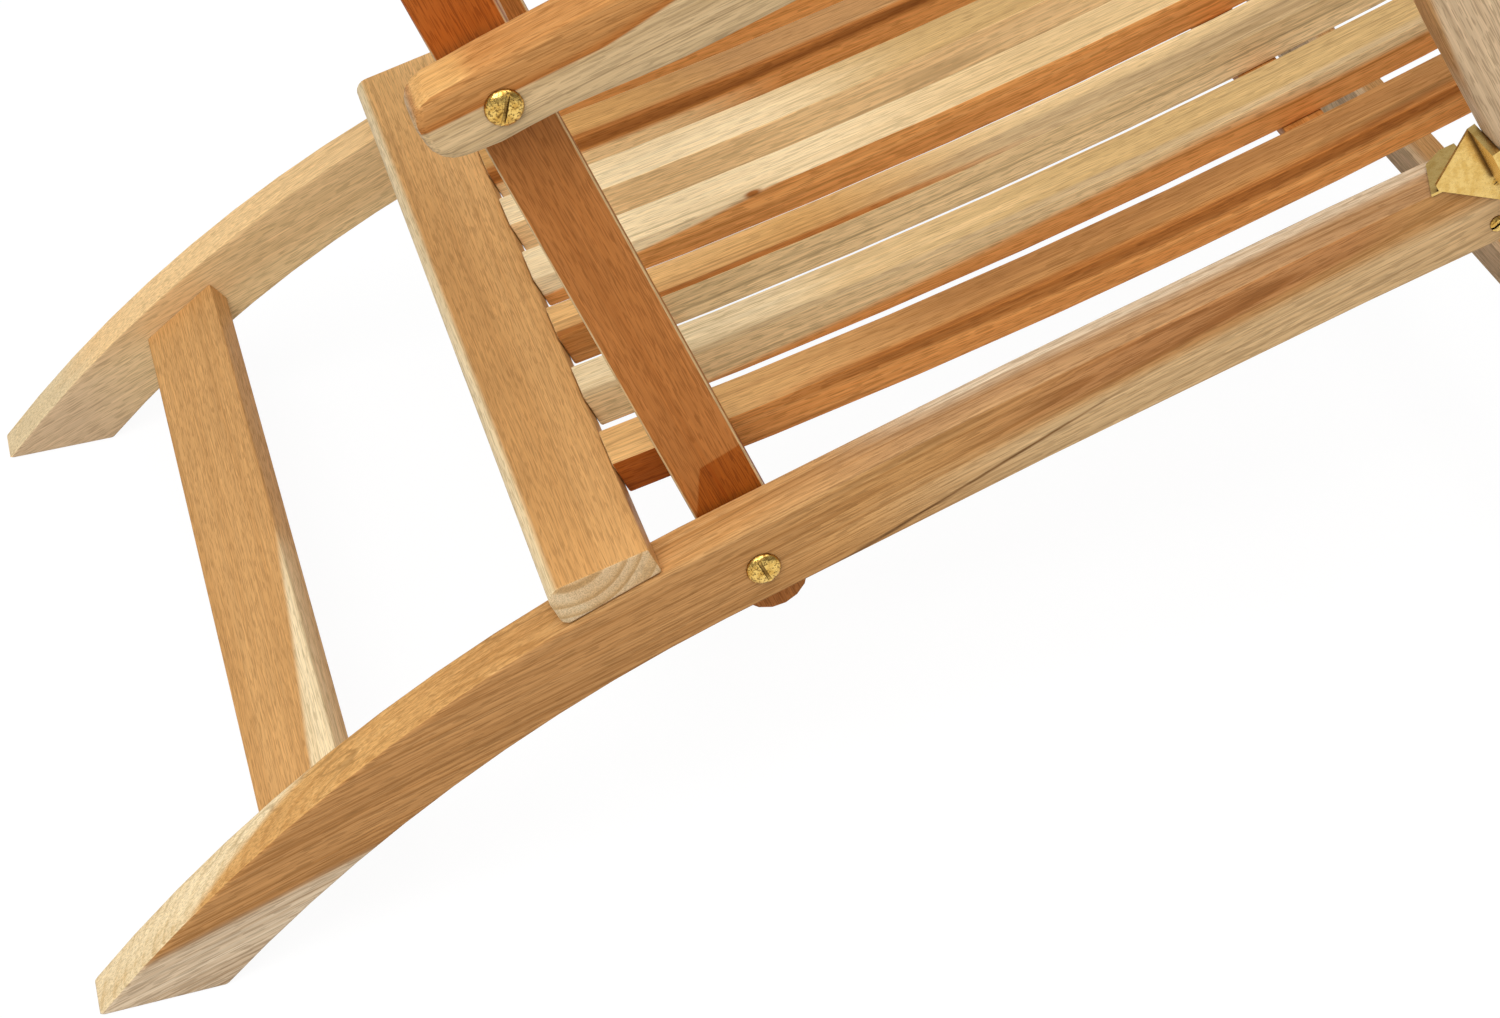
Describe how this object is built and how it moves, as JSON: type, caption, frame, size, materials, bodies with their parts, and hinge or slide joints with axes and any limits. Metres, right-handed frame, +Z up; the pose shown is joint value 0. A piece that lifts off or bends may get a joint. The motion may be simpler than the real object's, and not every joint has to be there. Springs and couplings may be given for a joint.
{
  "type": "folding deck chair",
  "caption": "Folding teak deck chair with bowed side rails, a dished slatted seat and a slatted back that folds down over it with its arms and front legs on brass bolts.",
  "frame": {"origin": "on the floor, midway between the tips of the front and rear feet and between the two side rails", "axes": "+X to the front of the chair, +Y to the sitter's left, +Z up"},
  "size_m": [0.9828, 0.6048, 0.8593],
  "materials": {
    "teak_pale": "oiled pale teak with brown and grey streaks",
    "teak_honey": "oiled honey-brown teak",
    "teak_dark": "oiled dark reddish-brown teak",
    "brass": "polished, lightly worn"
  },
  "bodies": {
    "seat_frame": {"back_pivot_bolt_left": "brass", "back_pivot_bolt_right": "brass", "back_pivot_nut_left": "brass", "back_pivot_nut_right": "brass", "back_pivot_washer_left": "brass", "back_pivot_washer_right": "brass", "front_cross_board": "teak_honey", "leg_pivot_bolt_left": "brass", "leg_pivot_bolt_right": "brass", "leg_pivot_nut_left": "brass", "leg_pivot_nut_right": "brass", "leg_pivot_washer_left": "brass", "leg_pivot_washer_right": "brass", "rear_cross_board": "teak_honey", "rear_stretcher": "teak_honey", "seat_batten": "teak_dark", "seat_slat_1": "teak_honey", "seat_slat_2": "teak_pale", "seat_slat_3": "teak_honey", "seat_slat_4": "teak_pale", "seat_slat_5": "teak_honey", "seat_slat_6": "teak_pale", "seat_slat_7": "teak_honey", "side_rail_left": "teak_pale", "side_rail_right": "teak_pale", "stop_bracket_left": "brass", "stop_bracket_right": "brass"},
    "backrest": {"arm_pivot_bolt_left": "brass", "arm_pivot_bolt_right": "brass", "arm_pivot_nut_left": "brass", "arm_pivot_nut_right": "brass", "arm_pivot_washer_left": "brass", "arm_pivot_washer_right": "brass", "back_bottom_rail": "teak_honey", "back_slat_1": "teak_pale", "back_slat_2": "teak_honey", "back_slat_3": "teak_pale", "back_slat_4": "teak_honey", "back_slat_5": "teak_pale", "back_slat_6": "teak_honey", "back_slat_7": "teak_pale", "back_stile_left": "teak_dark", "back_stile_right": "teak_dark", "back_top_rail": "teak_honey"},
    "arms": {"arm_left": "teak_pale", "arm_right": "teak_pale"},
    "front_legs": {"arm_front_bolt_left": "brass", "arm_front_bolt_right": "brass", "arm_front_nut_left": "brass", "arm_front_nut_right": "brass", "arm_front_washer_left": "brass", "arm_front_washer_right": "brass", "front_leg_left": "teak_honey", "front_leg_right": "teak_honey", "front_stretcher": "teak_honey"}
  },
  "joints": [
    {"name": "back_fold", "type": "hinge", "parent": "seat_frame", "child": "backrest", "pos_m": [-0.12867, 0, 0.19213], "axis": [0, 1, 0], "range_deg": [0, 74]},
    {"name": "arm_fold", "type": "hinge", "parent": "backrest", "child": "arms", "pos_m": [-0.22892, 0, 0.47616], "axis": [0, 1, 0], "range_deg": [-74, 0]},
    {"name": "leg_fold", "type": "hinge", "parent": "seat_frame", "child": "front_legs", "pos_m": [0.29144, 0, 0.32597], "axis": [0, 1, 0], "range_deg": [0, 74]}
  ],
  "couplings": [
    {"joint": "arm_fold", "follows": "back_fold", "ratio": -1},
    {"joint": "leg_fold", "follows": "back_fold", "ratio": 1}
  ]
}
